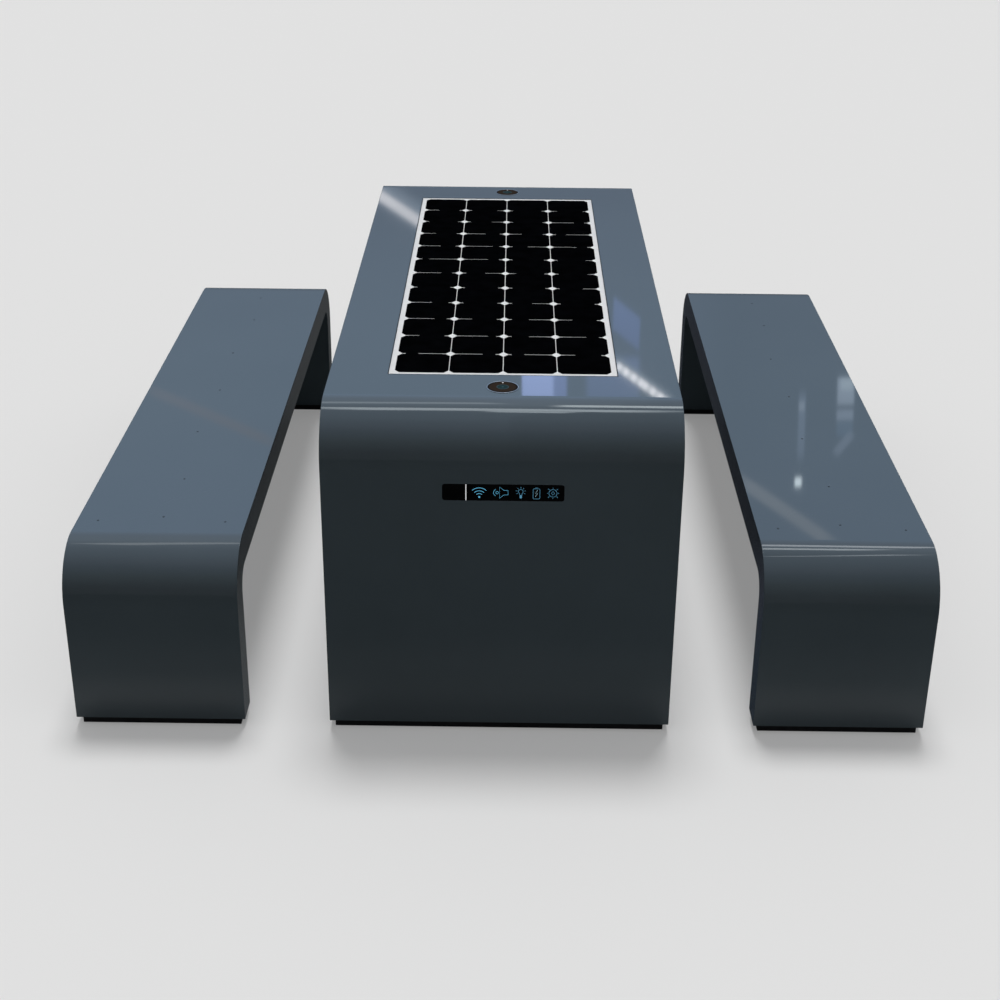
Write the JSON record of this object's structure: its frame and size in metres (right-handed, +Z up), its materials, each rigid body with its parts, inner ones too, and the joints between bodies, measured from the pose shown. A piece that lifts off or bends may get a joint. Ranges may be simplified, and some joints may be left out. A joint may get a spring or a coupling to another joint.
{
  "type": "solar charging picnic table with benches",
  "caption": "Bent-steel picnic table with a flush solar panel, wireless charging pads, an indicator strip and a service door, with free-standing benches.",
  "frame": {"origin": "on the ground, at the middle of the set", "axes": "+X across the set towards the right bench, +Y along the table from the leg with the indicator strip to the far leg, +Z up"},
  "size_m": [2, 2.05, 0.8012],
  "materials": {
    "painted_steel": "dark slate blue-grey powder coat, glossy",
    "zinc_steel": "galvanised",
    "black_foot": "matt black",
    "panel_glass": "clear low-iron glass",
    "solar_cell": "near-black monocrystalline silicon",
    "backsheet": "white",
    "black_rubber": "black rubber",
    "black_plastic": "moulded, fine grain",
    "charger_ring": "satin chrome",
    "charger_disc": "brown-black, satin",
    "display_gloss": "gloss black acrylic",
    "circuit_board": "green solder mask",
    "battery_case": "dark grey moulded case",
    "aluminium": "anodised, satin",
    "lamp_diffuser": "opal",
    "hinge_steel": "stainless, satin",
    "lock_chrome": "polished"
  },
  "bodies": {
    "root": {"table_shell": "painted_steel", "table_lining": "painted_steel", "table_sides": "painted_steel", "table_base_plates": "zinc_steel", "table_feet": "black_foot", "top_ribs": "zinc_steel", "panel_ledge": "zinc_steel", "panel_backsheet": "backsheet", "panel_cells": "solar_cell", "panel_glass": "panel_glass", "panel_gasket": "black_rubber", "panel_junction_box": "black_plastic", "charger_bodies": "black_plastic", "charger_discs": "charger_disc", "charger_rings": "charger_ring", "charger_nuts": "black_plastic", "display_window": "display_gloss", "display_housing": "black_plastic", "display_board": "circuit_board", "battery": "battery_case", "battery_shelf": "zinc_steel", "battery_strap": "zinc_steel", "equipment_plate": "zinc_steel", "charge_controller": "aluminium", "wifi_router": "black_plastic", "audio_amplifier": "black_plastic", "fuse_block": "black_plastic", "speaker": "black_plastic", "speaker_grille": "black_plastic", "lamp_channel": "aluminium", "lamp_diffuser": "lamp_diffuser", "door_frame": "painted_steel", "door_seal": "black_rubber", "frame_hinge_leaves": "hinge_steel", "hinge_pins": "hinge_steel", "left_bench_shell": "painted_steel", "left_bench_lining": "painted_steel", "left_bench_sides": "painted_steel", "left_bench_ribs": "zinc_steel", "left_bench_base_plates": "zinc_steel", "left_bench_feet": "black_foot", "right_bench_shell": "painted_steel", "right_bench_lining": "painted_steel", "right_bench_sides": "painted_steel", "right_bench_ribs": "zinc_steel", "right_bench_base_plates": "zinc_steel", "right_bench_feet": "black_foot"},
    "service_door": {"door_panel": "painted_steel", "door_hinge_leaves": "hinge_steel", "lock_housing": "lock_chrome"},
    "lock_cam": {"lock_core": "lock_chrome", "lock_cam": "hinge_steel"}
  },
  "joints": [
    {"name": "door_hinge", "type": "hinge", "parent": "root", "child": "service_door", "pos_m": [-0.279, -0.9195, 0.23], "axis": [0, 0, 1], "range_deg": [0, 110]},
    {"name": "lock_turn", "type": "hinge", "parent": "service_door", "child": "lock_cam", "pos_m": [0.238, -0.925, 0.23], "axis": [0, -1, 0], "range_deg": [0, 90]}
  ]
}
